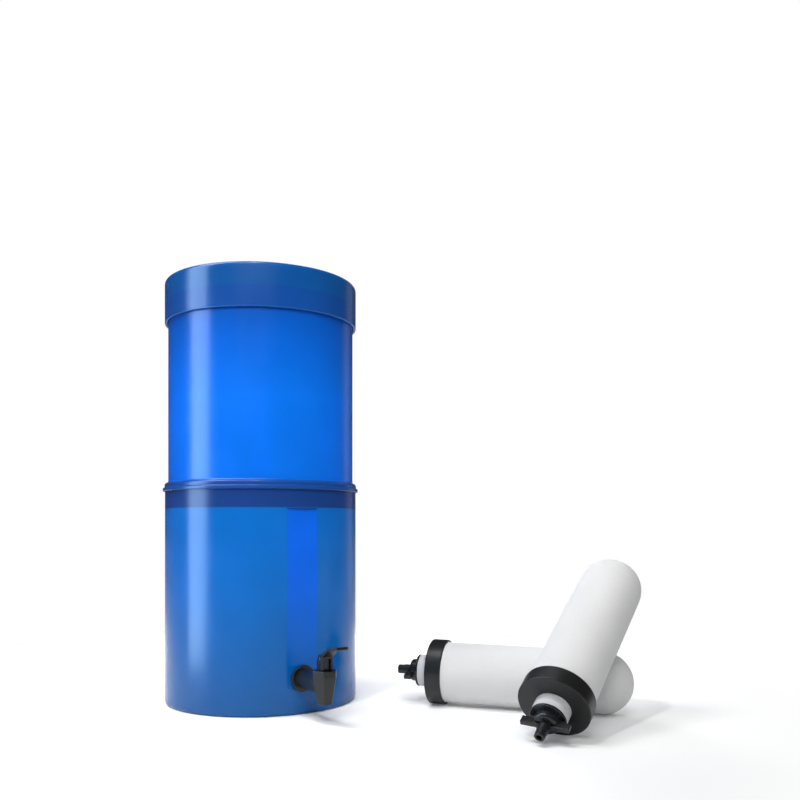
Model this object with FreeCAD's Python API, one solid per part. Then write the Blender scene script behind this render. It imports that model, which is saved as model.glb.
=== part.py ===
import FreeCAD, Part
import math
import os

# Gravity water filter with a lever tap.
# Two translucent cups stand one in the other under a lid. Raw water in the upper cup passes through
# the fitted filter elements into the lower cup, and leaves by the tap near the floor.
# A second pair of elements stands beside the housing, one lying and one leaning on it.
# Millimetres, +Z up. The origin is on the floor on the housing's axis, and the tap points to -Y.

V = FreeCAD.Vector
UP = V(0, 0, 1)
OUT = V(0, -1, 0)
SIDE = V(1, 0, 0)
ORIGIN = V(0, 0, 0)

# Cups and lid
wall = 3.0
lower_radius = 110.85
lower_height = 246.0
lower_floor = 4.0
bottom_round = 4.5
nest_clearance = 0.65
nest_depth = 23.1
upper_height = 236.1
upper_floor = 3.0
skirt_overhang = 2.45
skirt_clearance = 0.4
skirt_drop = 2.8
bead_height = 8.0
bead_width = 4.1
bead_foot = 0.8
bead_crown = 2.2
bead_root = 1.6
rim_round = 1.0
edge_round = 0.8
lid_clearance = 0.8
lid_overlap = 22.4
lid_height = 48.1
lid_rib_count = 8
lid_rib_width = 2.5
lid_top_round = 4.0
lid_inner_round = 1.5

# Flat strip on the lower cup that the tap is fixed to
facet_depth = 1.44
facet_gap = 1.4
facet_drop = 10.0
spot_margin = 0.8

# Tap, from the wall outwards
tap_height = 39.5
washer_thickness = 2.0
flange_radius = 14.0
flange_thickness = 3.0
shank_radius = 8.0
shank_clearance = 0.3
shank_tail = 4.0
nut_thickness = 8.0
nut_across = 26.0
barrel_root_radius = 10.5
barrel_end_radius = 8.6
spout_reach = 53.3
spout_top_across = 23.4
spout_mouth_across = 15.2
spout_round = 1.3
spout_height = 27.4
spout_drop = 18.5
bonnet_height = 7.0
collar_radius = 9.5
collar_height = 3.2
collar_clearance = 0.1
seal_thickness = 0.8

# Waterway and valve
waterway_radius = 4.5
valve_radius = 7.2
outlet_radius = 4.75
seat_drop = 6.0
cup_clearance = 0.3
cup_height = 12.0
cup_neck_radius = 4.6
stem_radius = 3.0
stem_clearance = 0.08
stem_bulb_radius = 3.9
stem_bulb_height = 2.0
cup_sole = 2.5
cup_sole_overlap = 1.3
cup_lip_height = 2.5
cup_slope = 1.0

# Lever
pin_rise = 12.2
pin_radius = 2.2
pin_clearance = 0.05
pin_recess = 0.8
eye_radius = 3.8
eye_width = 6.8
eye_clearance = 0.3
eye_rest_gap = 0.3
ear_thickness = 2.6
ear_half_depth = 6.3
ear_top = 3.6
ear_shoulder = 4.0
ear_top_inset = 3.9
ear_turn_room = 0.3
ear_rest_gap = 0.15
arm_thickness = 3.2
arm_root_rise = 5.6
arm_bend_round = 2.5
arm_root_round = 3.0
arm_edge_round = 0.5
handle_end_round = 0.9
slope_reach = 16.4
slope_rise = 12.4
handle_reach = 38.4
handle_rise = 15.8

# Filter element
cap_radius = 36.5
cap_height = 18.0
cap_base = 3.0
ceramic_radius = 34.0
ceramic_wall = 8.0
glue_clearance = 0.1
headroom = 2.1
core_clearance = 0.3
core_bore_radius = 8.0
core_bore_end = 30.0
outlet_stem_radius = 5.7
nozzle_radius = 5.2
nozzle_length = 7.5
outlet_stem_length = 41.0
outlet_bore_radius = 3.0
gasket_radius = 18.0
gasket_thickness = 7.0
gasket_clearance = 0.2
floor_hole_clearance = 0.5
nut_clearance = 0.08
nut_seat_gap = 0.1
nut_flange_thickness = 2.5
hub_radius = 12.5
hub_height = 8.5
hub_round = 3.0
wing_span = 48.0
wing_thickness = 5.0
wing_height = 8.5
wing_offset = 2.5
pair_gap = 23.0
cap_round = 1.2
gasket_round = 0.9
nozzle_round = 0.8

# The pair that stands beside the housing
leaning_foot_x = 154.3
leaning_foot_y = -337.3
leaning_heading = 25.7
leaning_tilt = 32.3
leaning_roll = 5.0
lying_heading = -50.7
lying_roll = 12.0
lying_touch = 180.0
touch_gap = 0.3

# Places that several pieces share
rim_z = lower_height
upper_base_z = lower_height - nest_depth
floor_top_z = upper_base_z + upper_floor
upper_rim_z = upper_base_z + upper_height
lower_inner = lower_radius - wall
upper_radius = lower_inner - nest_clearance
upper_inner = upper_radius - wall
lid_inner = upper_radius + lid_clearance
lid_radius = lid_inner + wall
lid_low_z = upper_rim_z - lid_overlap
lid_top_z = lid_low_z + lid_height
facet_y = lower_radius - facet_depth
facet_low_z = tap_height - facet_drop
facet_high_z = upper_base_z - facet_gap
spot_radius = flange_radius + spot_margin
spout_y = facet_y + spout_reach
mouth_z = tap_height - spout_drop
body_top_z = mouth_z + spout_height
bonnet_top_z = body_top_z + bonnet_height
seat_z = tap_height - seat_drop
pin_z = bonnet_top_z + pin_rise
lever_width = eye_width + 2 * (eye_clearance + ear_thickness)
ceramic_length = upper_height - upper_floor - gasket_thickness - headroom
dome_centre = ceramic_length - ceramic_radius
fitted_x = cap_radius + pair_gap / 2


def rounded_face(corners, across=SIDE, along=UP, origin=ORIGIN):
    """Flat face inside a polygon whose corners are (u, v) or (u, v, radius of the corner's arc)."""
    count = len(corners)
    points = [V(c[0], c[1], 0) for c in corners]
    radii = [c[2] if len(c) > 2 else 0.0 for c in corners]

    def place(p):
        return origin + across * p.x + along * p.y

    runs = []
    for i in range(count):
        before = (points[i - 1] - points[i]).normalize()
        after = (points[(i + 1) % count] - points[i]).normalize()
        if radii[i] == 0:
            runs.append((points[i], None, points[i]))
            continue
        half = before.getAngle(after) / 2
        reach = radii[i] / math.tan(half)
        middle = (before + after).normalize() * (radii[i] / math.sin(half) - radii[i])
        runs.append((points[i] + before * reach, points[i] + middle, points[i] + after * reach))
    edges = []
    for i in range(count):
        start, middle, end = runs[i]
        if middle is not None:
            edges.append(Part.Arc(place(start), place(middle), place(end)).toShape())
        following = runs[(i + 1) % count][0]
        if (following - end).Length > 1e-6:
            edges.append(Part.LineSegment(place(end), place(following)).toShape())
    return Part.Face(Part.Wire(edges))


def turned(corners):
    """Solid of revolution about the Z axis from corners of (radius, height, corner arc)."""
    return rounded_face(corners).revolve(ORIGIN, UP, 360)


def disc(radius, low, high, edge=0.0):
    """Upright disc or rod with its two rims rounded."""
    return turned([(0, low), (radius, low, edge), (radius, high, edge), (0, high)])


def ring(inner, outer, low, high, edge=0.0):
    """Upright ring with its outer rims rounded."""
    return turned([(inner, low), (outer, low, edge), (outer, high, edge), (inner, high)])


def block(x, y, z):
    """Box between two limits on each axis."""
    corner = V(x[0], y[0], z[0])
    return Part.makeBox(x[1] - x[0], y[1] - y[0], z[1] - z[0], corner)


def rod_out(radius, start, end, end_radius=None):
    """Rod or cone on the shank's axis between two distances from the housing's axis."""
    foot = V(0, -start, tap_height)
    if end_radius is None:
        return Part.makeCylinder(radius, end - start, foot, OUT)
    return Part.makeCone(radius, end_radius, end - start, foot, OUT)


def hexagon(across, round_radius):
    """Corners of a six-sided outline with flats towards the wall and away from it."""
    reach = across / math.sqrt(3)
    angles = [math.radians(60 * i) for i in range(6)]
    return [(reach * math.cos(a), reach * math.sin(a), round_radius) for a in angles]


def hex_prism(low_across, high_across, low, high, x=0.0, y=0.0):
    """Upright six-sided prism or taper with rounded corners."""
    wires = []
    for across, level in ((low_across, low), (high_across, high)):
        face = rounded_face(hexagon(across, spout_round), SIDE, V(0, 1, 0), V(x, y, level))
        wires.append(face.OuterWire)
    return Part.makeLoft(wires, True, True)


def soften(shape, radius, wanted):
    """Round the edges whose middle point passes the test."""
    edges = [e for e in shape.Edges if wanted(e.valueAt((e.FirstParameter + e.LastParameter) / 2))]
    return shape.makeFillet(radius, edges) if edges else shape


def make_lower_chamber():
    """Lower cup with a flat base, the flat strip and the tap's hole."""
    cup = turned([
        (0, 0), (lower_radius, 0, bottom_round), (lower_radius, rim_z, edge_round),
        (lower_inner, rim_z, edge_round), (lower_inner, lower_floor, bottom_round), (0, lower_floor)])
    inner_y = facet_y - wall
    beyond = 2 * lower_radius
    strip_inside = block((-beyond, beyond), (-beyond, -inner_y), (facet_low_z, facet_high_z))
    spot_inside = rod_out(spot_radius, inner_y, beyond)
    backing = Part.makeCylinder(lower_radius - wall / 2, rim_z).common(strip_inside.fuse(spot_inside))
    strip_outside = block((-beyond, beyond), (-beyond, -facet_y), (facet_low_z, facet_high_z))
    spot_outside = rod_out(spot_radius, facet_y, beyond)
    hole = rod_out(shank_radius + shank_clearance, lower_radius / 2, beyond)
    return cup.fuse(backing).cut(strip_outside).cut(spot_outside).cut(hole).removeSplitter()


def make_upper_chamber():
    """Upper cup. Its beaded flange rests on the lower cup's rim, and a thin skirt hangs outside it."""
    skirt_inner = lower_radius + skirt_clearance
    skirt_outer = lower_radius + skirt_overhang
    bead_radius = upper_radius + bead_width
    cup = turned([
        (0, upper_base_z), (upper_radius, upper_base_z, bottom_round),
        (upper_radius, rim_z), (skirt_inner, rim_z), (skirt_inner, rim_z - skirt_drop, bead_foot / 3),
        (skirt_outer, rim_z - skirt_drop, bead_foot), (skirt_outer, rim_z + bead_foot, bead_foot),
        (bead_radius, rim_z + 2 * bead_foot, bead_foot / 2),
        (bead_radius, rim_z + bead_height - bead_crown, bead_crown),
        (upper_radius, rim_z + bead_height, bead_root), (upper_radius, upper_rim_z, rim_round),
        (upper_inner, upper_rim_z, rim_round), (upper_inner, floor_top_z, bottom_round), (0, floor_top_z)])
    for x in (-fitted_x, fitted_x):
        hole_radius = outlet_stem_radius + floor_hole_clearance
        cup = cup.cut(Part.makeCylinder(hole_radius, 3 * upper_floor, V(x, 0, upper_base_z - upper_floor)))
    return cup


def make_lid():
    """Cap with short ribs inside that rest on the upper cup's rim."""
    lid = turned([
        (0, lid_top_z - wall), (lid_inner, lid_top_z - wall, lid_inner_round),
        (lid_inner, lid_low_z, edge_round), (lid_radius, lid_low_z, edge_round),
        (lid_radius, lid_top_z, lid_top_round), (0, lid_top_z)])
    rib = block((upper_inner, lid_inner + wall / 2), (-lid_rib_width / 2, lid_rib_width / 2),
                (upper_rim_z, lid_top_z - wall / 2))
    for i in range(lid_rib_count):
        turned_rib = rib.copy()
        turned_rib.rotate(ORIGIN, UP, (i + 0.5) * 360 / lid_rib_count)
        lid = lid.fuse(turned_rib)
    return lid.removeSplitter()


def make_tap_washer(start, radius):
    """Flat washer on the shank, from a distance from the housing's axis outwards."""
    washer = rod_out(radius, start, start + washer_thickness)
    return washer.cut(rod_out(shank_radius + shank_clearance, 0, 2 * start))


def make_shank_nut():
    """Six-sided nut with a round flange, inside the wall."""
    high = facet_y - wall - washer_thickness
    face = rounded_face(hexagon(nut_across, spout_round), SIDE, UP, V(0, -high, tap_height))
    nut = face.extrude(V(0, nut_thickness, 0))
    nut = nut.fuse(rod_out(flange_radius, high - nut_thickness / 4, high)).removeSplitter()
    return nut.cut(rod_out(shank_radius + shank_clearance / 2, 0, 2 * high))


def make_tap_body():
    """Shank, flange, barrel and spout in one moulding, with the waterway and the valve's chamber."""
    flange_start = facet_y + washer_thickness
    flange_end = flange_start + flange_thickness
    nut_end = facet_y - wall - washer_thickness - nut_thickness
    shank = rod_out(shank_radius, nut_end - shank_tail, flange_start)
    flange = rod_out(flange_radius, flange_start, flange_end)
    flange = flange.makeFillet(edge_round, [flange.Edges[0], flange.Edges[2]])
    barrel = rod_out(barrel_root_radius, flange_end, spout_y, barrel_end_radius)
    spout = hex_prism(spout_mouth_across, spout_top_across, mouth_z, body_top_z, 0, -spout_y)
    spout = soften(spout, arm_edge_round, lambda p: abs(p.z - mouth_z) < 0.01)
    collar = disc(collar_radius, body_top_z - collar_height, body_top_z + collar_height)
    collar.translate(V(0, -spout_y, 0))
    body = spout.fuse([barrel, flange, shank, collar]).removeSplitter()
    chamber = disc(valve_radius, seat_z, bonnet_top_z)
    outlet = disc(outlet_radius, 0, seat_z + outlet_radius)
    for hollow in (chamber, outlet):
        hollow.translate(V(0, -spout_y, 0))
        body = body.cut(hollow)
    return body.cut(rod_out(waterway_radius, 0, spout_y))


def make_bonnet():
    """Six-sided cap that screws over the spout's collar and guides the stem."""
    bonnet = hex_prism(spout_top_across, spout_top_across, body_top_z, bonnet_top_z, 0, -spout_y)
    bonnet = soften(bonnet, arm_edge_round, lambda p: abs(p.z - bonnet_top_z) < 0.01)
    recess = disc(collar_radius + collar_clearance, 0, body_top_z + collar_height + seal_thickness)
    guide = disc(stem_radius + stem_clearance, body_top_z, pin_z)
    for hollow in (recess, guide):
        hollow.translate(V(0, -spout_y, 0))
        bonnet = bonnet.cut(hollow)
    return bonnet


def make_bonnet_seal():
    """Flat ring between the collar's top and the bonnet."""
    low = body_top_z + collar_height
    seal = ring(valve_radius, collar_radius, low, low + seal_thickness)
    seal.translate(V(0, -spout_y, 0))
    return seal


def stem_outline():
    """Corners of the round stem with its bulb, which the seat cup grips."""
    foot = seat_z + cup_sole
    bulb_top = foot + stem_bulb_height
    return [(0, foot), (stem_bulb_radius, foot), (stem_bulb_radius, bulb_top), (stem_radius, bulb_top),
            (stem_radius, bonnet_top_z), (0, bonnet_top_z)]


def make_seat_cup():
    """Silicone cup on the stem's end. Its sole closes the outlet, its upper lip wipes the chamber."""
    lip = valve_radius - cup_clearance
    lip_low = seat_z + cup_height - cup_lip_height
    sole = outlet_radius + cup_sole_overlap
    cup = turned([
        (0, seat_z), (sole, seat_z, edge_round / 2), (sole, seat_z + cup_sole, edge_round),
        (cup_neck_radius, seat_z + cup_sole + cup_slope), (cup_neck_radius, lip_low - cup_slope),
        (lip, lip_low), (lip, seat_z + cup_height, edge_round / 2), (0, seat_z + cup_height)])
    cup = cup.cut(turned(stem_outline()))
    cup.translate(V(0, -spout_y, 0))
    return cup


def make_tap_stem():
    """Round stem with a bulb in the cup and a flat eye above the bonnet for the pin."""
    stem = turned(stem_outline())
    eye_low = bonnet_top_z + eye_rest_gap - pin_z
    eye = rounded_face([(-eye_radius, eye_low, edge_round / 2), (eye_radius, eye_low, edge_round / 2),
                        (eye_radius, eye_radius, eye_radius), (-eye_radius, eye_radius, eye_radius)],
                       V(0, 1, 0), UP, V(-eye_width / 2, 0, pin_z))
    eye = eye.extrude(V(eye_width, 0, 0))
    stem = stem.fuse([eye, disc(stem_radius, body_top_z, bonnet_top_z + 2 * eye_rest_gap)]).removeSplitter()
    stem.translate(V(0, -spout_y, 0))
    pin_hole = Part.makeCylinder(pin_radius + pin_clearance, 2 * lever_width,
                                 V(-lever_width, -spout_y, pin_z), SIDE)
    return stem.cut(pin_hole)


def make_tap_lever():
    """Lever in one moulding: two ears on the pin, a sloping arm and a flat handle."""
    slope = math.atan2(slope_rise - arm_root_rise, slope_reach - ear_half_depth)
    handle = math.atan2(handle_rise - slope_rise, handle_reach - slope_reach)
    bend = (slope + handle) / 2
    ear_low = ear_rest_gap - pin_rise
    outline = [
        (-ear_half_depth, ear_low, edge_round), (-ear_half_depth, -ear_shoulder, arm_bend_round),
        (ear_top_inset - ear_half_depth, ear_top, arm_bend_round / 2),
        (ear_half_depth, arm_root_rise, arm_root_round), (slope_reach, slope_rise, arm_bend_round),
        (handle_reach, handle_rise, handle_end_round),
        (handle_reach + arm_thickness * math.sin(handle), handle_rise - arm_thickness * math.cos(handle),
         handle_end_round),
        (slope_reach + arm_thickness * math.sin(bend), slope_rise - arm_thickness * math.cos(bend),
         arm_bend_round / 2),
        (ear_half_depth, arm_root_rise - arm_thickness / math.cos(slope), arm_bend_round),
        (ear_half_depth, ear_low, edge_round)]
    face = rounded_face(outline, OUT, UP, V(-lever_width / 2, -spout_y, pin_z))
    lever = face.extrude(V(lever_width, 0, 0))
    tip_y = -spout_y - handle_reach
    lever = soften(lever, arm_edge_round, lambda p: abs(abs(p.x) - lever_width / 2) < 0.01)
    gap = eye_width / 2 + eye_clearance
    turn_room = eye_radius + eye_clearance + ear_turn_room
    low = pin_z - 2 * pin_rise
    slot = Part.makeCylinder(turn_room, 2 * gap, V(-gap, -spout_y, pin_z), SIDE)
    slot = slot.fuse([block((-gap, gap), (-spout_y, -spout_y + 3 * ear_half_depth),
                            (low, pin_z + 2 * turn_room)),
                      block((-gap, gap), (tip_y, -spout_y), (low, pin_z))])
    lever = lever.cut(slot)
    hole = Part.makeCylinder(pin_radius, 2 * lever_width, V(-lever_width, -spout_y, pin_z), SIDE)
    return lever.cut(hole)


def make_tap_pin():
    """Pin through the ears and the stem's eye, its ends a little below the ears' faces."""
    length = lever_width - 2 * pin_recess
    return Part.makeCylinder(pin_radius, length, V(-length / 2, -spout_y, pin_z), SIDE)


def make_ceramic():
    """Hollow shell with a domed end. Heights are measured from the cap's outer face."""
    inner = ceramic_radius - ceramic_wall
    inner_top = ceramic_length - ceramic_wall
    return turned([
        (inner, cap_base), (ceramic_radius, cap_base), (ceramic_radius, ceramic_length, ceramic_radius),
        (0, ceramic_length), (0, inner_top), (inner, inner_top, inner)])


def make_core():
    """Carbon block inside the shell, with a blind bore that leads to the outlet."""
    radius = ceramic_radius - ceramic_wall - core_clearance
    top = ceramic_length - ceramic_wall - core_clearance
    return turned([
        (core_bore_radius, cap_base), (radius, cap_base), (radius, top, radius), (0, top),
        (0, top - core_bore_end), (core_bore_radius, top - core_bore_end)])


def make_cap():
    """End cap that holds the shell, with the outlet stem and its nozzle."""
    recess = ceramic_radius + glue_clearance
    step = nozzle_length - outlet_stem_length
    return turned([
        (outlet_bore_radius, cap_base), (outlet_bore_radius, -outlet_stem_length),
        (nozzle_radius, -outlet_stem_length, nozzle_round), (nozzle_radius, step),
        (outlet_stem_radius, step, nozzle_round / 2), (outlet_stem_radius, 0), (cap_radius, 0, cap_round),
        (cap_radius, cap_height, cap_round), (recess, cap_height), (recess, cap_base)])


def make_gasket(low):
    """Thick white gasket on the outlet stem."""
    bore = outlet_stem_radius + gasket_clearance
    return ring(bore, gasket_radius, low, low + gasket_thickness, gasket_round)


def make_wing_nut(gasket_low):
    """Wing nut: round flange next to the gasket, round hub and two square wings."""
    high = gasket_low - nut_seat_gap
    flange_low = high - nut_flange_thickness
    flange_middle = high - nut_flange_thickness / 2
    hub_low = flange_low - hub_height
    wing_high = flange_low - wing_offset
    wing_low = wing_high - wing_height
    nut = turned([(0, hub_low), (hub_radius, hub_low, hub_round), (hub_radius, flange_middle),
                  (0, flange_middle)])
    wings = block((-wing_span / 2, wing_span / 2), (-wing_thickness / 2, wing_thickness / 2),
                  (wing_low, wing_high))
    wings = soften(wings, edge_round, lambda p: True)
    nut = nut.fuse([wings, disc(gasket_radius, flange_low, high, edge_round)]).removeSplitter()
    bore = Part.makeCylinder(outlet_stem_radius + nut_clearance, 2 * outlet_stem_length,
                             V(0, 0, high - outlet_stem_length))
    return nut.cut(bore)


def make_element(name, floor_thickness):
    """All pieces of one element, standing on its nozzle with the cap's outer face at height zero."""
    under_low = -2 * gasket_thickness - floor_thickness
    return {
        name + "_ceramic": make_ceramic(),
        name + "_core": make_core(),
        name + "_cap": make_cap(),
        name + "_top_gasket": make_gasket(-gasket_thickness),
        name + "_under_gasket": make_gasket(under_low),
        name + "_wing_nut": make_wing_nut(under_low),
    }


def heading_vector(heading, rise):
    """Unit vector from a heading about Z and a rise above the floor, both in degrees."""
    flat = math.cos(math.radians(rise))
    turn = math.radians(heading)
    return V(flat * math.cos(turn), flat * math.sin(turn), math.sin(math.radians(rise)))


def element_placement(foot, direction, roll):
    """Placement that lays an element's axis on a line and rolls its wings about it."""
    level = UP.cross(direction).normalize()
    third = direction.cross(level)
    turn = math.radians(roll)
    wings = level * math.cos(turn) + third * math.sin(turn)
    rotation = FreeCAD.Rotation(wings, direction.cross(wings), direction, "ZXY")
    return FreeCAD.Placement(foot, rotation)


def placed(pieces, placement):
    """The same pieces at a placement."""
    moved = {}
    for name, shape in pieces.items():
        moved[name] = shape.copy()
        moved[name].Placement = placement.multiply(shape.Placement)
    return moved


def fitted_elements():
    """The pair in the upper cup, its floor clamped between each element's two gaskets."""
    pieces = {}
    for name, x in (("fitted_left", -fitted_x), ("fitted_right", fitted_x)):
        foot = V(x, 0, floor_top_z + gasket_thickness)
        placement = FreeCAD.Placement(foot, FreeCAD.Rotation(UP, 90.0))
        pieces.update(placed(make_element(name, upper_floor), placement))
    return pieces


def loose_elements():
    """The pair beside the housing: the leaning one's shell touches the lying one's shell."""
    lying_dip = math.degrees(math.atan2(cap_radius - ceramic_radius, dome_centre - cap_height))
    lying = heading_vector(lying_heading, -lying_dip)
    leaning = heading_vector(leaning_heading, leaning_tilt)
    foot_z = cap_radius * math.cos(math.radians(leaning_tilt))
    leaning_foot = V(leaning_foot_x, leaning_foot_y, foot_z)
    normal = lying.cross(leaning).normalize()
    between = normal * (2 * ceramic_radius + touch_gap)
    lying_foot_z = cap_radius * math.cos(math.radians(lying_dip)) - cap_height * lying.z
    along = (lying_foot_z + lying_touch * lying.z + between.z - leaning_foot.z) / leaning.z
    lying_foot = leaning_foot + leaning * along - between - lying * lying_touch
    for name, foot, direction in (("lying", lying_foot, lying), ("leaning", leaning_foot, leaning)):
        print(name, "cap face at", [round(c, 3) for c in foot], "axis", [round(c, 6) for c in direction])
    print("the leaning element is touched", round(along, 1), "from its cap's face")
    pieces = placed(make_element("lying", 0.0), element_placement(lying_foot, lying, lying_roll))
    pieces.update(placed(make_element("leaning", 0.0),
                         element_placement(leaning_foot, leaning, leaning_roll)))
    return pieces


nodes = {
    "lower_chamber": make_lower_chamber(),
    "upper_chamber": make_upper_chamber(),
    "lid": make_lid(),
    "tap_outer_washer": make_tap_washer(facet_y, flange_radius - spot_margin),
    "tap_inner_washer": make_tap_washer(facet_y - wall - washer_thickness, flange_radius),
    "tap_shank_nut": make_shank_nut(),
    "tap_body": make_tap_body(),
    "tap_bonnet": make_bonnet(),
    "tap_bonnet_seal": make_bonnet_seal(),
    "tap_seat_cup": make_seat_cup(),
    "tap_stem": make_tap_stem(),
    "tap_lever": make_tap_lever(),
    "tap_pin": make_tap_pin(),
}
nodes.update(fitted_elements())
nodes.update(loose_elements())

os.makedirs("parts", exist_ok=True)
for name, shape in nodes.items():
    shape.exportStep("parts/" + name + ".step")
    box = shape.BoundBox
    print(name, "solids", len(shape.Solids), "valid", shape.isValid(), "volume", round(shape.Volume),
          "z", round(box.ZMin, 2), round(box.ZMax, 2))
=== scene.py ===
import math

import bpy
import numpy as np
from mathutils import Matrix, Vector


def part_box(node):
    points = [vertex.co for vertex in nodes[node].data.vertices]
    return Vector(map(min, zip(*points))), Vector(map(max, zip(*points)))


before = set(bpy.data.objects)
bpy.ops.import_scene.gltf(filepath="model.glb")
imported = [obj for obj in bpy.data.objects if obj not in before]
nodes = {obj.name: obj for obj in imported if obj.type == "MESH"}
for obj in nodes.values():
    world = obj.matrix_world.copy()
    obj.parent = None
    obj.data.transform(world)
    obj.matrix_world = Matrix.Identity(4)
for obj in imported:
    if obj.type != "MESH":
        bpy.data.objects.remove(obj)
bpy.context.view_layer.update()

scene = bpy.context.scene
scene.view_settings.view_transform = "Standard"

# Camera. It stands to the left of the tap and looks level. Its place was worked out from the
# ellipses of the housing's rims in the photo. The lens is shifted up rather than tilted, so the
# housing's sides stay upright.
camera_place = (-0.4131, -0.9681, 0.2028)
view_right = np.array([0.8476, -0.5307])
view_ahead = np.array([0.5307, 0.8476])
photo_size = 800.0
focal_pixels = 878.0
horizon_pixel = 526.6
sensor_width = 36.0
nearest_seen = 0.01

camera_data = bpy.data.cameras.new("camera")
camera_data.sensor_width = sensor_width
camera_data.lens = sensor_width * focal_pixels / photo_size
camera_data.shift_y = (horizon_pixel - photo_size / 2) / photo_size
camera_data.clip_start = nearest_seen
camera = bpy.data.objects.new("camera", camera_data)
camera.location = camera_place
camera.rotation_euler = (math.pi / 2, 0, -math.atan2(view_ahead[0], view_ahead[1]))
scene.collection.objects.link(camera)
scene.camera = camera

# Lamps. Two lamps above throw the soft shadows to the right and the crisp one under the tap. One in
# front lifts the housing, a tall box on the left gives the long upright highlight, a box behind on
# the right draws its right edge, and one behind shines through the plastic.
all_round = 180.0
highlight_blue = (0.52, 0.77, 1.0)


def studio_point(right, ahead, height):
    """Point given by metres to the right of the housing's axis and ahead of it, as the camera sees them."""
    flat = right * view_right + ahead * view_ahead
    return np.array([flat[0], flat[1], height])


def softbox(name, place, target, size, power, spread=all_round):
    """Rectangular lamp at one studio point that faces another, which the camera doesn't see."""
    data = bpy.data.lights.new(name, "AREA")
    data.shape = "RECTANGLE"
    data.size = size[0]
    data.size_y = size[1]
    data.energy = power
    data.spread = math.radians(spread)
    lamp = bpy.data.objects.new(name, data)
    lamp.location = studio_point(*place)
    away = studio_point(*target) - studio_point(*place)
    tilt = math.acos(-away[2] / np.linalg.norm(away))
    lamp.rotation_euler = (tilt, 0, math.atan2(away[1], away[0]) - math.pi / 2)
    lamp.visible_camera = False
    scene.collection.objects.link(lamp)
    return lamp


softbox("soft_key", place=(-0.66, -0.1, 1.75), target=(0.12, 0.0, 0.1), size=(0.75, 0.75), power=14.6)
softbox("crisp_key", place=(-0.08, -0.4, 1.8), target=(0.09, -0.14, 0.05), size=(0.06, 0.06), power=7.0)
softbox("right_edge", place=(1.0, 1.1, 0.5), target=(0.0, 0.0, 0.3), size=(0.5, 1.0), power=0.5)

# These two are kept out of reflections.
housing_key = softbox("housing_key", place=(0.03, -0.82, 1.0), target=(0.02, 0.0, 0.36), size=(0.8, 0.6),
                      power=1.95, spread=62.0)
housing_key.visible_glossy = False
back_glow = softbox("back_glow", place=(0.04, 0.75, 0.34), target=(0.0, 0.0, 0.32), size=(0.4, 0.3),
                    power=5.0)
back_glow.visible_glossy = False

# This one adds nothing to matt light, and is there for its pale blue reflection.
left_strip = softbox("left_strip", place=(-0.36, -0.2, 0.42), target=(-0.06, -0.09, 0.4),
                     size=(0.18, 0.84), power=4.7)
left_strip.visible_diffuse = False
left_strip.data.color = highlight_blue

# Surround. Rays that come straight from the camera, or through the blue plastic, see white. Light
# that falls on matt surfaces is dimmer. Reflections see a dark studio, which keeps the blue and the
# black plastic dark.
fill_strength = 0.28
mirrored_strength = 0.05
white = (1.0, 1.0, 1.0, 1.0)
cool_white = (0.98, 0.99, 1.0, 1.0)


def node_adder(tree):
    """Call that adds a node to a tree. Its inputs are values, or sockets that are wired to it."""
    def add(kind, inputs=None, **options):
        node = tree.nodes.new("ShaderNode" + kind)
        for option, value in options.items():
            setattr(node, option, value)
        for socket, value in (inputs or {}).items():
            if isinstance(value, bpy.types.NodeSocket):
                tree.links.new(value, node.inputs[socket])
            else:
                node.inputs[socket].default_value = value
        return node
    return add


surround = bpy.data.worlds.new("surround")
surround.use_nodes = True
surround.node_tree.nodes.clear()
scene.world = surround
add = node_adder(surround.node_tree)
ray = add("LightPath").outputs
seen_directly = add("Math", {0: ray["Is Camera Ray"], 1: ray["Is Transmission Ray"]},
                    operation="MAXIMUM").outputs[0]
strength = add("MapRange", {"Value": ray["Is Glossy Ray"], "To Min": fill_strength,
                            "To Max": mirrored_strength}).outputs["Result"]
dim_air = add("Background", {"Color": cool_white, "Strength": strength}).outputs[0]
white_air = add("Background", {"Color": white}).outputs[0]
air = add("MixShader", {0: seen_directly, 1: dim_air, 2: white_air}).outputs[0]
add("OutputWorld", {"Surface": air})

# Floor. White, seen only by its shadows. The camera sees it a little brighter than it is lit, and
# away from the object it turns into plain white light, so that no horizon shows.
floor_half = 12.0
floor_white = (0.95, 0.95, 0.95, 1.0)
floor_roughness = 0.9
floor_lift = 0.1
shadow_reach = (0.44, 0.68)


def shade(name, **settings):
    """New material, with the calls that add its nodes and that set or wire its Principled inputs."""
    material = bpy.data.materials.new(name)
    material.use_nodes = True
    tree = material.node_tree
    shader = tree.nodes["Principled BSDF"]

    def wire(**inputs):
        for socket, value in inputs.items():
            target = shader.inputs[socket.replace("_", " ")]
            if isinstance(value, bpy.types.NodeSocket):
                tree.links.new(value, target)
            else:
                target.default_value = value

    wire(**settings)
    return material, node_adder(tree), wire


floor_material, add, wire = shade("floor_white", Roughness=floor_roughness, Base_Color=floor_white)
floor_tree = floor_material.node_tree
place = add("TexCoord").outputs["Object"]
apart = add("VectorMath", {0: place}, operation="LENGTH").outputs["Value"]
far = add("MapRange", {"Value": apart, "From Min": shadow_reach[0], "From Max": shadow_reach[1]},
          interpolation_type="SMOOTHSTEP").outputs["Result"]
seen = add("LightPath").outputs["Is Camera Ray"]
far_seen = add("Math", {0: far, 1: seen}, operation="MULTIPLY").outputs[0]
lift = add("Math", {0: seen, 1: floor_lift}, operation="MULTIPLY").outputs[0]
glow = add("Emission", {"Strength": lift}).outputs[0]
near_floor = add("AddShader", {0: floor_tree.nodes["Principled BSDF"].outputs[0], 1: glow}).outputs[0]
white_floor = add("Emission", {"Color": white}).outputs[0]
floor_mix = add("MixShader", {0: far_seen, 1: near_floor, 2: white_floor}).outputs[0]
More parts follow.
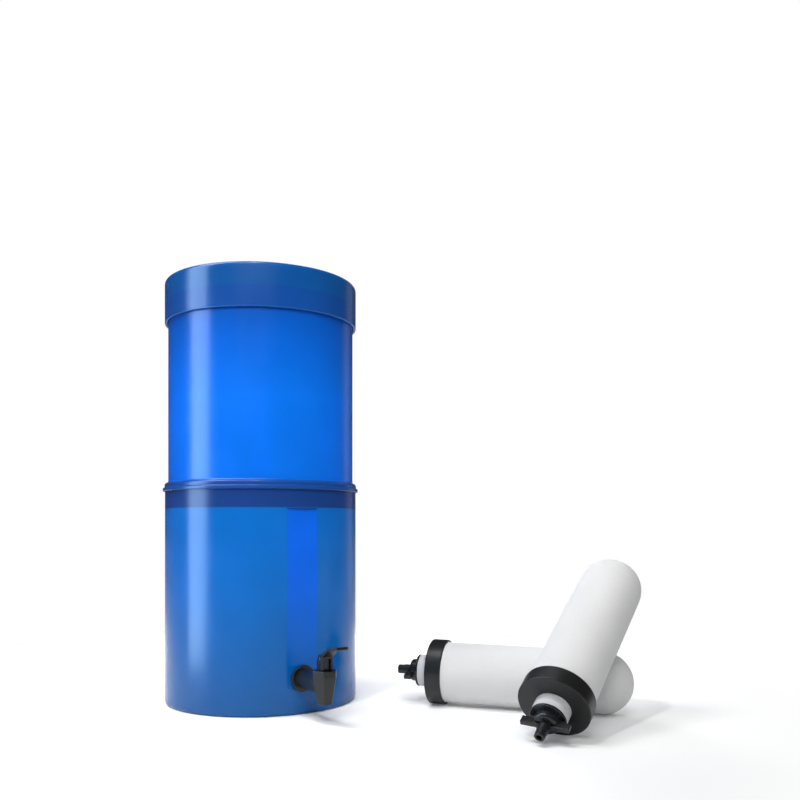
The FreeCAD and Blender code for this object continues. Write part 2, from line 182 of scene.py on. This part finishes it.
floor_tree.links.new(floor_mix, floor_tree.nodes["Material Output"].inputs["Surface"])

floor_mesh = bpy.data.meshes.new("floor")
floor_mesh.from_pydata([(-floor_half, -floor_half, 0), (floor_half, -floor_half, 0),
                        (floor_half, floor_half, 0), (-floor_half, floor_half, 0)], [], [(0, 1, 2, 3)])
floor_mesh.materials.append(floor_material)
floor = bpy.data.objects.new("floor", floor_mesh)
scene.collection.objects.link(floor)

# Moulded skin. A node group that every material of the object shares. It gives fine grain, long
# marks along the height, and soft patches, where the surface is a little lighter and less glossy.
flow_scale = (90.0, 90.0, 4.0)
flow_share = 0.5
patch_scale = 22.0
patch_range = (0.3, 0.7)
uneven_range = (0.12, 0.4)
bump_depth = 0.0002

skin = bpy.data.node_groups.new("moulded_skin", "ShaderNodeTree")
skin.interface.new_socket("Color", in_out="INPUT", socket_type="NodeSocketColor")
for socket in ("Tone Change", "Grain Scale", "Grain Depth", "Relief", "Roughness Low", "Roughness High"):
    skin.interface.new_socket(socket, in_out="INPUT", socket_type="NodeSocketFloat")
for socket, kind in (("Color", "Color"), ("Roughness", "Float"), ("Normal", "Vector")):
    skin.interface.new_socket(socket, in_out="OUTPUT", socket_type="NodeSocket" + kind)

add = node_adder(skin)
given = skin.nodes.new("NodeGroupInput").outputs
place = add("TexCoord").outputs["Object"]
grain = add("TexNoise", {"Vector": place, "Scale": given["Grain Scale"], "Detail": 2.0}).outputs["Fac"]
drawn = add("Mapping", {"Vector": place, "Scale": flow_scale}).outputs["Vector"]
flow = add("TexNoise", {"Vector": drawn, "Scale": 1.0, "Detail": 3.0}).outputs["Fac"]
patches = add("TexNoise", {"Vector": place, "Scale": patch_scale, "Detail": 2.0}).outputs["Fac"]
low_flow = add("Math", {0: flow, 1: flow_share}, operation="MULTIPLY").outputs[0]
marks = add("Math", {0: grain, 1: low_flow}, operation="ADD").outputs[0]
height = add("Math", {0: marks, 1: given["Relief"]}, operation="ADD").outputs[0]
bump = add("Bump", {"Height": height, "Strength": given["Grain Depth"],
                    "Distance": bump_depth}).outputs["Normal"]
uneven = add("Math", {0: patches, 1: flow}, operation="MULTIPLY").outputs[0]
rough = add("MapRange", {"Value": uneven, "From Min": uneven_range[0], "From Max": uneven_range[1],
                         "To Min": given["Roughness Low"],
                         "To Max": given["Roughness High"]}).outputs["Result"]
darkest = add("Math", {0: 1.0, 1: given["Tone Change"]}, operation="SUBTRACT").outputs[0]
lightest = add("Math", {0: 1.0, 1: given["Tone Change"]}, operation="ADD").outputs[0]
tone = add("MapRange", {"Value": patches, "From Min": patch_range[0], "From Max": patch_range[1],
                        "To Min": darkest, "To Max": lightest}).outputs["Result"]
toned = add("VectorMath", {0: given["Color"], "Scale": tone}, operation="SCALE").outputs[0]
taken = skin.nodes.new("NodeGroupOutput").inputs
for source, socket in ((toned, "Color"), (rough, "Roughness"), (bump, "Normal")):
    skin.links.new(source, taken[socket])


def moulded(add, wire, color, tone_change, grain_scale, grain_depth, roughness, relief=0.0):
    """Give a material the moulded skin over a colour, which is three values or a socket."""
    if not isinstance(color, bpy.types.NodeSocket):
        color = (*color, 1.0)
    dressed = add("Group", {"Color": color, "Tone Change": tone_change, "Grain Scale": grain_scale,
                            "Grain Depth": grain_depth, "Relief": relief, "Roughness Low": roughness[0],
                            "Roughness High": roughness[1]}, node_tree=skin).outputs
    wire(Base_Color=dressed["Color"], Roughness=dressed["Roughness"], Normal=dressed["Normal"])


# Lower chamber. A cup moulded in translucent blue plastic, which stands on its flat base and
# collects the clean water. The upper cup's foot stands inside its rim, and that band is painted
# dark as shade of the two walls. The cup is painted darker towards its base, as painted shade. The
# flat strip down to the tap carries painted light, a brighter blue that fades towards its foot, and
# a thin painted shadow marks the small ledge at its top.
blue_plastic = {"IOR": 1.45, "Transmission_Weight": 0.3, "Specular_IOR_Level": 0.36}
blue_skin = {"tone_change": 0.04, "grain_scale": 1500.0, "grain_depth": 0.06, "roughness": (0.19, 0.27)}
overlap_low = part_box("upper_chamber")[0][2]
rim_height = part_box("lower_chamber")[1][2]
band_edge = 0.001
# The band where the upper cup's foot stands is painted dark, as painted shade of the two walls.
painted_two_wall_shade = (0.012, 0.068, 0.32)
# The foot is painted a darker blue, as painted shade that fades out by this height.
foot_shade_top = 0.13
painted_foot_shade = (0.002, 0.128, 0.43)
lower_wall_blue = (0.0, 0.194, 0.7)
strip_half = 0.0178
strip_low = 0.0295
strip_high = 0.2215
# The flat strip's brighter blue is painted light, full from this height up and none at its foot.
strip_full = 0.14
strip_share = 0.95
painted_strip_light = (0.0, 0.17, 0.97)
# A thin painted shadow at the strip's top ledge.
ledge_shadow_height = 0.0015
painted_ledge_shadow = (0.002, 0.08, 0.4)


def by_height(add, stops):
    """Colour that follows the height over the floor, from stops of (height in metres, colour)."""
    low, high = stops[0][0], stops[-1][0]
    height = add("SeparateXYZ", {0: add("TexCoord").outputs["Object"]}).outputs["Z"]
    level = add("MapRange", {"Value": height, "From Min": low, "From Max": high}).outputs["Result"]
    ramp = add("ValToRGB", {"Fac": level})
    ends = ramp.color_ramp.elements
    ends[0].color = (*stops[0][1], 1.0)
    ends[1].color = (*stops[-1][1], 1.0)
    for stop, color in stops[1:-1]:
        ends.new((stop - low) / (high - low)).color = (*color, 1.0)
    return ramp.outputs["Color"]


def all_of(add, *masks):
    """Mask that is 1 where all the masks are."""
    together = masks[0]
    for mask in masks[1:]:
        together = add("Math", {0: together, 1: mask}, operation="MULTIPLY").outputs[0]
    return together


def compare(add, value, operation, limit):
    """Mask that is 1 where a value is over or under a limit."""
    return add("Math", {0: value, 1: limit}, operation=operation).outputs[0]


def blend(add, mask, color, other):
    """Colour that turns into another where the mask is 1."""
    return add("Mix", {"Factor": mask, "A": color, "B": (*other, 1.0)}, data_type="RGBA").outputs[2]


def dress(material, *names):
    """Give CAD nodes a material."""
    for name in names:
        nodes[name].data.materials.clear()
        nodes[name].data.materials.append(material)


material, add, wire = shade("blue_lower", **blue_plastic)
color = by_height(add, [
    (0.0, painted_foot_shade), (foot_shade_top, lower_wall_blue), (overlap_low, lower_wall_blue),
    (overlap_low + band_edge, painted_two_wall_shade), (rim_height, painted_two_wall_shade)])
axes = add("SeparateXYZ", {0: add("TexCoord").outputs["Object"]}).outputs
sideways = add("Math", {0: axes["X"]}, operation="ABSOLUTE").outputs[0]
on_strip = all_of(add, compare(add, sideways, "LESS_THAN", strip_half),
                  compare(add, axes["Y"], "LESS_THAN", 0.0))
# Painted light on the flat strip, brighter upwards from its foot.
strip_light = add("MapRange", {"Value": axes["Z"], "From Min": strip_low, "From Max": strip_full,
                               "To Max": strip_share}).outputs["Result"]
painted_strip_light_mask = all_of(add, on_strip, strip_light, compare(add, axes["Z"], "LESS_THAN", strip_high))
color = blend(add, painted_strip_light_mask, color, painted_strip_light)
# Painted shadow of the ledge at the strip's top.
painted_ledge_shadow_mask = all_of(add, on_strip, compare(add, axes["Z"], "GREATER_THAN", strip_high),
                    compare(add, axes["Z"], "LESS_THAN", strip_high + ledge_shadow_height))
color = blend(add, painted_ledge_shadow_mask, color, painted_ledge_shadow)
moulded(add, wire, color, **blue_skin)
dress(material, "lower_chamber")

# Upper chamber. A cup moulded in the same blue plastic, which holds the raw water and the two fitted
# elements. Its bead rests on the lower cup's rim. Its foot and bead are painted dark, as painted
# shade. Its wall is painted bright, partly as painted glow, and darker towards the lid, as painted
# shade.
upper_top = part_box("upper_chamber")[1][2]
bead_top = 0.2530
bead_edge = 0.0015
# The foot and bead are painted darker, as painted shade.
painted_bead_shade = (0.012, 0.09, 0.4)
# The wall's bright blue is partly painted glow.
wall_blue_with_painted_glow = (0.0, 0.208, 0.96)
# From here up the wall is painted darker towards the lid, as painted shade.
shade_start = 0.345
shade_end = 0.43
shaded_blue = (0.0, 0.12, 0.64)

material, add, wire = shade("blue_upper", **blue_plastic)
color = by_height(add, [
    (overlap_low, painted_bead_shade), (bead_top, painted_bead_shade), (bead_top + bead_edge, wall_blue_with_painted_glow),
    (shade_start, wall_blue_with_painted_glow), (shade_end, shaded_blue), (upper_top, shaded_blue)])
moulded(add, wire, color, **blue_skin)
dress(material, "upper_chamber")

# Lid. A deep cap moulded in the same blue plastic, which drops over the upper cup's rim by hand. The
# lower edge of its skirt carries a pale painted highlight. Above it the skirt covers a second wall,
# and is painted a little less green and darker than the top, as painted shade.
lid_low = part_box("lid")[0][2]
lid_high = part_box("lid")[1][2]
skirt_highlight_height = 0.0012
# Pale painted highlight along the skirt's lower edge.
painted_skirt_highlight = (0.02, 0.2, 0.6)
# The skirt over the second wall is painted a little darker, as painted shade.
painted_skirt_shade = (0.006, 0.086, 0.395)
top_edge = 0.002
top_blue = (0.004, 0.1, 0.38)

material, add, wire = shade("blue_lid", **blue_plastic)
color = by_height(add, [
    (lid_low, painted_skirt_highlight), (lid_low + skirt_highlight_height, painted_skirt_shade), (upper_top, painted_skirt_shade),
    (upper_top + top_edge, top_blue), (lid_high, top_blue)])
moulded(add, wire, color, **blue_skin)
dress(material, "lid")

# Tap body. Flange, barrel, six-sided spout and threaded shank, moulded in one piece of black plastic
# in a mould of two halves. It is clamped to the chamber's wall by the shank nut.
line_half = 0.00012


def parting_line(add, half_width):
    """Relief of the fine line that the two mould halves leave in the plane through the tap's axis."""
    across = add("SeparateXYZ", {0: add("TexCoord").outputs["Object"]}).outputs["X"]
    apart = add("Math", {0: across}, operation="ABSOLUTE").outputs[0]
    return compare(add, apart, "LESS_THAN", half_width)


material, add, wire = shade("tap_body_black", Specular_IOR_Level=0.5)
moulded(add, wire, color=(0.009, 0.0093, 0.0093), tone_change=0.12, grain_scale=2600.0,
        grain_depth=0.14, roughness=(0.28, 0.38), relief=parting_line(add, line_half))
dress(material, "tap_body")

# Bonnet. Six-sided cap moulded in black plastic, which screws on the spout's top and guides the
# stem. It is given a slightly glossier finish than the body.
material, add, wire = shade("tap_bonnet_black", Specular_IOR_Level=0.5)
moulded(add, wire, color=(0.0085, 0.0088, 0.0088), tone_change=0.12, grain_scale=2800.0,
        grain_depth=0.12, roughness=(0.26, 0.36))
dress(material, "tap_bonnet")

# Lever. A black moulded handle with two ears. The pin holds it to the stem, and the ears roll on
# the bonnet. Its gloss varies more than the body's.
material, add, wire = shade("tap_lever_black", Specular_IOR_Level=0.5)
moulded(add, wire, color=(0.009, 0.0092, 0.009), tone_change=0.16, grain_scale=2400.0,
        grain_depth=0.12, roughness=(0.22, 0.38), relief=parting_line(add, line_half))
dress(material, "tap_lever")

# Stem. The smooth black plunger that the lever lifts. It slides in the bonnet and carries the
# seat cup on its end.
material, add, wire = shade("tap_stem_black", Specular_IOR_Level=0.5)
moulded(add, wire, color=(0.008, 0.008, 0.008), tone_change=0.1, grain_scale=1800.0,
        grain_depth=0.04, roughness=(0.16, 0.24))
dress(material, "tap_stem")

# Pin. A plain steel pin, cut from drawn wire and pressed through the lever's ears and the stem's eye.
# The drawing marks run along it.
wire_marks = (150.0, 4000.0, 4000.0)

material, add, wire = shade("pin_steel", Metallic=1.0)
drawn = add("Mapping", {"Vector": add("TexCoord").outputs["Object"], "Scale": wire_marks}).outputs["Vector"]
marks = add("TexNoise", {"Vector": drawn, "Scale": 1.0, "Detail": 2.0}).outputs["Fac"]
moulded(add, wire, color=(0.4, 0.4, 0.41), tone_change=0.08, grain_scale=4000.0,
        grain_depth=0.1, roughness=(0.28, 0.42), relief=marks)
dress(material, "tap_pin")

# Shank nut. A black moulded nut inside the chamber, screwed on the shank against the inner washer.
# It is given a duller finish than the tap's body.
material, add, wire = shade("shank_nut_black", Specular_IOR_Level=0.45)
moulded(add, wire, color=(0.015, 0.015, 0.0155), tone_change=0.14, grain_scale=2200.0,
        grain_depth=0.16, roughness=(0.36, 0.5))
dress(material, "tap_shank_nut")

# Tap washers. Two flat rings of black rubber, one on either side of the chamber's wall. Their
# finish is matt and a little uneven.
material, add, wire = shade("washer_rubber", Specular_IOR_Level=0.25)
moulded(add, wire, color=(0.02, 0.02, 0.02), tone_change=0.15, grain_scale=3200.0,
        grain_depth=0.22, roughness=(0.6, 0.75))
dress(material, "tap_outer_washer", "tap_inner_washer")

# Valve seals. A flat rubber ring under the bonnet, and a silicone rubber cup on the stem's end that
# closes the outlet. Both are black and moulded.
material, add, wire = shade("valve_rubber", Specular_IOR_Level=0.3)
moulded(add, wire, color=(0.024, 0.024, 0.025), tone_change=0.1, grain_scale=2600.0,
        grain_depth=0.1, roughness=(0.5, 0.64))
dress(material, "tap_bonnet_seal", "tap_seat_cup")

# Ceramic shells. Each is a tube of white fired ceramic with a domed end, glued into its cap. It is
# matt and full of fine pores.
element_names = ["fitted_left", "fitted_right", "lying", "leaning"]
pore_scale = 700.0
pore_edges = (0.04, 0.22)
pore_gray = (0.55, 0.55, 0.54, 1.0)
ceramic_white = (0.71, 0.71, 0.705, 1.0)

material, add, wire = shade("white_ceramic", Specular_IOR_Level=0.2)
place = add("TexCoord").outputs["Object"]
from_pore = add("TexVoronoi", {"Vector": place, "Scale": pore_scale}).outputs["Distance"]
solid = add("ValToRGB", {"Fac": from_pore})
for end, edge, tint in zip(solid.color_ramp.elements, pore_edges, (pore_gray, ceramic_white)):
    end.position = edge
    end.color = tint
moulded(add, wire, color=solid.outputs["Color"], tone_change=0.02, grain_scale=2200.0,
        grain_depth=0.3, roughness=(0.75, 0.9), relief=from_pore)
dress(material, *[name + "_ceramic" for name in element_names])

# Cores. A black block of pressed carbon grains inside each shell, pushed in before the cap is glued.
# The grains are about 1 mm wide, some of them gray.
carbon_grains = 900.0
carbon_grays = (0.004, 0.03)

material, add, wire = shade("carbon_block", Specular_IOR_Level=0.3)
place = add("TexCoord").outputs["Object"]
grains = add("TexVoronoi", {"Vector": place, "Scale": carbon_grains}).outputs["Distance"]
gray = add("MapRange", {"Value": grains, "To Min": carbon_grays[0],
                        "To Max": carbon_grays[1]}).outputs["Result"]
color = add("CombineColor", {"Red": gray, "Green": gray, "Blue": gray}).outputs[0]
moulded(add, wire, color=color, tone_change=0.3, grain_scale=carbon_grains,
        grain_depth=0.5, roughness=(0.8, 0.95), relief=grains)
dress(material, *[name + "_core" for name in element_names])

# Caps. A black moulded disc with its outlet stem, glued over the shell's open end. Its outside has a
# satin grain.
material, add, wire = shade("cap_black", Specular_IOR_Level=0.45)
moulded(add, wire, color=(0.012, 0.012, 0.0125), tone_change=0.12, grain_scale=2600.0,
        grain_depth=0.12, roughness=(0.34, 0.45))
dress(material, *[name + "_cap" for name in element_names])

# Gaskets. Two white silicone rings on each stem. They clamp the upper chamber's floor between them,
# and on the loose elements the round edges where they meet show as a fine seam.
material, add, wire = shade("white_silicone", Specular_IOR_Level=0.4)
moulded(add, wire, color=(0.6, 0.61, 0.62), tone_change=0.03, grain_scale=1500.0,
        grain_depth=0.08, roughness=(0.42, 0.55))
dress(material, *[name + part for name in element_names for part in ("_top_gasket", "_under_gasket")])

# Wing nuts. A black moulded nut with a round flange and two wings, screwed up the stem by hand until
# the gaskets are tight. It is glossier than the cap.
material, add, wire = shade("wing_nut_black", Specular_IOR_Level=0.5)
moulded(add, wire, color=(0.013, 0.013, 0.0135), tone_change=0.14, grain_scale=1800.0,
        grain_depth=0.08, roughness=(0.22, 0.36))
dress(material, *[name + "_wing_nut" for name in element_names])
